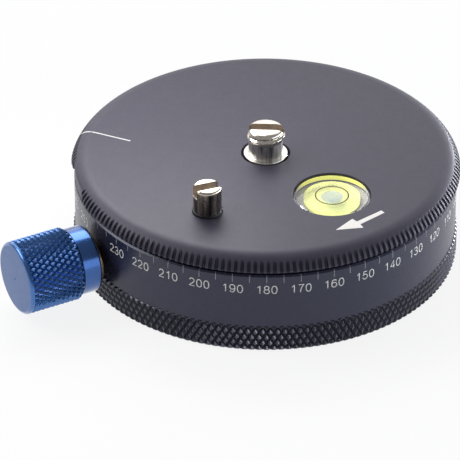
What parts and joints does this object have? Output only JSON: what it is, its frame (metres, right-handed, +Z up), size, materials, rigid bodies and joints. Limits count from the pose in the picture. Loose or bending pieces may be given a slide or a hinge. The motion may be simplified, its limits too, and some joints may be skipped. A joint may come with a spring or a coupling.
{
  "type": "panoramic tripod head",
  "caption": "Round panning head: a turntable plate with camera screw and bubble level turns on a graduated base and is locked by a side knob.",
  "frame": {"origin": "on the pan axis at the underside of the base, at the mouth of the tripod socket", "axes": "+Z up along the pan axis and the camera screw; -Y is the front, where the scale reads 180; the lock knob points 209 degrees from +X, seen from above"},
  "size_m": [0.1072, 0.0916, 0.0321],
  "materials": {
    "black_anodised": "satin black anodised",
    "plain_aluminium": "turned",
    "blue_anodised": "blue anodised",
    "bright_steel": "polished",
    "steel": "turned",
    "black_steel": "black oxide",
    "yellow_zinc_steel": "yellow zinc plated",
    "brass": "turned",
    "slide_plastic": "moulded",
    "grey_plastic": "moulded",
    "clear_acrylic": "clear polished",
    "level_liquid": "clear liquid",
    "air": "air"
  },
  "bodies": {
    "base": {"base_plate": "black_anodised", "base_screws": "black_steel", "tripod_bush": "steel", "housing": "black_anodised", "journal_sleeve": "brass", "thrust_ring": "slide_plastic", "lock_bush": "brass"},
    "platform": {"top_plate": "black_anodised", "hub": "plain_aluminium", "plate_screws": "black_steel", "retaining_nut": "plain_aluminium", "disc_spring": "steel", "camera_stud": "bright_steel", "anti_twist_pin": "bright_steel", "level_body": "clear_acrylic", "level_plug": "grey_plastic", "level_liquid": "level_liquid", "level_bubble": "air"},
    "lock_carriage": {"brake_shoe": "brass"},
    "lock_knob": {"lock_screw": "yellow_zinc_steel", "knob": "blue_anodised"}
  },
  "joints": [
    {"name": "pan", "type": "hinge", "parent": "base", "child": "platform", "pos_m": [0, 0, 0.0196], "axis": [0, 0, 1], "continuous": true},
    {"name": "lock_travel", "type": "slide", "parent": "base", "child": "lock_carriage", "axis": [-0.8746, -0.4848, 0], "range_m": [-0.0004, 0.0015]},
    {"name": "knob_turn", "type": "hinge", "parent": "lock_carriage", "child": "lock_knob", "pos_m": [0, 0, 0.01035], "axis": [-0.8746, -0.4848, 0], "range_deg": [-144, 540]}
  ],
  "couplings": [
    {"joint": "knob_turn", "follows": "lock_travel", "rad_per_m": 6283.2}
  ]
}
